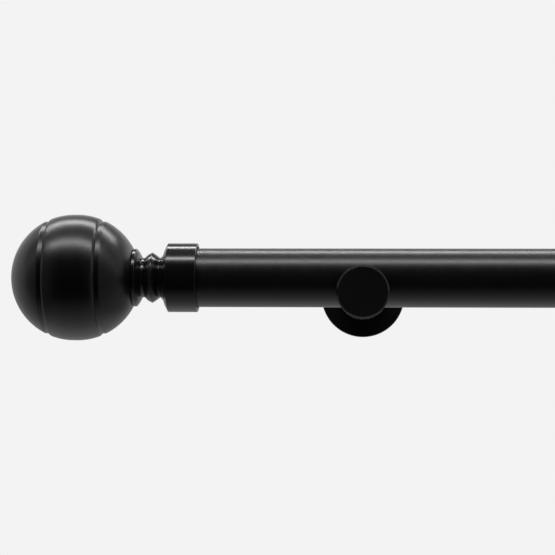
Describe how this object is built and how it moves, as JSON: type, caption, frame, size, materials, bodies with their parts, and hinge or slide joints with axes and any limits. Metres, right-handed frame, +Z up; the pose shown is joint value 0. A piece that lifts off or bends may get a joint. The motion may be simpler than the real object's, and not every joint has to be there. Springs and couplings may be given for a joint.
{
  "type": "curtain rod with brackets",
  "caption": "Black metal curtain rod resting in round wall brackets, with grooved ball finials on turned necks closing its ends.",
  "frame": {"origin": "centre of the wall screw pattern, in the wall plane, midway between the brackets and level with the axes of their stems", "axes": "+X along the rod to the right as seen from the room, +Y into the wall, +Z up"},
  "size_m": [1.3906, 0.1174, 0.0748],
  "materials": {
    "black_coat_pole": "satin powder coat",
    "black_coat_finial": "satin powder coat",
    "black_coat_bracket": "satin powder coat",
    "zinc_steel": "zinc plated",
    "black_screw_steel": "black oxide",
    "nylon": "moulded, black"
  },
  "bodies": {
    "brackets": {"left_wall_disc": "zinc_steel", "left_rose": "black_coat_bracket", "left_stem": "black_coat_bracket", "left_end_cap": "black_coat_bracket", "left_stem_bolt": "zinc_steel", "right_wall_disc": "zinc_steel", "right_rose": "black_coat_bracket", "right_stem": "black_coat_bracket", "right_end_cap": "black_coat_bracket", "right_stem_bolt": "zinc_steel"},
    "pole": {"pole_tube": "black_coat_pole"},
    "left_finial": {"left_neck_collar": "black_coat_finial", "left_collar_sleeve": "nylon", "left_finial_stud": "zinc_steel", "left_ball_nut": "zinc_steel", "left_ball_inner_half": "black_coat_finial", "left_ball_outer_half": "black_coat_finial"},
    "right_finial": {"right_neck_collar": "black_coat_finial", "right_collar_sleeve": "nylon", "right_finial_stud": "zinc_steel", "right_ball_nut": "zinc_steel", "right_ball_inner_half": "black_coat_finial", "right_ball_outer_half": "black_coat_finial"},
    "left_pole_screw": {"left_clamp_screw": "black_screw_steel"},
    "left_rose_lock": {"left_rose_screw": "black_screw_steel"},
    "left_finial_lock": {"left_finial_screw": "black_screw_steel"},
    "right_pole_screw": {"right_clamp_screw": "black_screw_steel"},
    "right_rose_lock": {"right_rose_screw": "black_screw_steel"},
    "right_finial_lock": {"right_finial_screw": "black_screw_steel"}
  },
  "joints": [
    {"name": "pole_lift", "type": "slide", "parent": "brackets", "child": "pole", "axis": [0, 0, 1], "range_m": [0, 0.06]},
    {"name": "left_finial_pull", "type": "slide", "parent": "pole", "child": "left_finial", "axis": [-1, 0, 0], "range_m": [0, 0.04]},
    {"name": "right_finial_pull", "type": "slide", "parent": "pole", "child": "right_finial", "axis": [1, 0, 0], "range_m": [0, 0.04]},
    {"name": "left_pole_screw_travel", "type": "slide", "parent": "brackets", "child": "left_pole_screw", "axis": [0, 0, -1], "range_m": [0, 0.003]},
    {"name": "left_rose_screw_travel", "type": "slide", "parent": "brackets", "child": "left_rose_lock", "axis": [0, 0, -1], "range_m": [0, 0.002]},
    {"name": "left_finial_screw_travel", "type": "slide", "parent": "left_finial", "child": "left_finial_lock", "axis": [0, 1, 0], "range_m": [0, 0.002]},
    {"name": "right_pole_screw_travel", "type": "slide", "parent": "brackets", "child": "right_pole_screw", "axis": [0, 0, -1], "range_m": [0, 0.003]},
    {"name": "right_rose_screw_travel", "type": "slide", "parent": "brackets", "child": "right_rose_lock", "axis": [0, 0, -1], "range_m": [0, 0.002]},
    {"name": "right_finial_screw_travel", "type": "slide", "parent": "right_finial", "child": "right_finial_lock", "axis": [0, 1, 0], "range_m": [0, 0.002]}
  ]
}
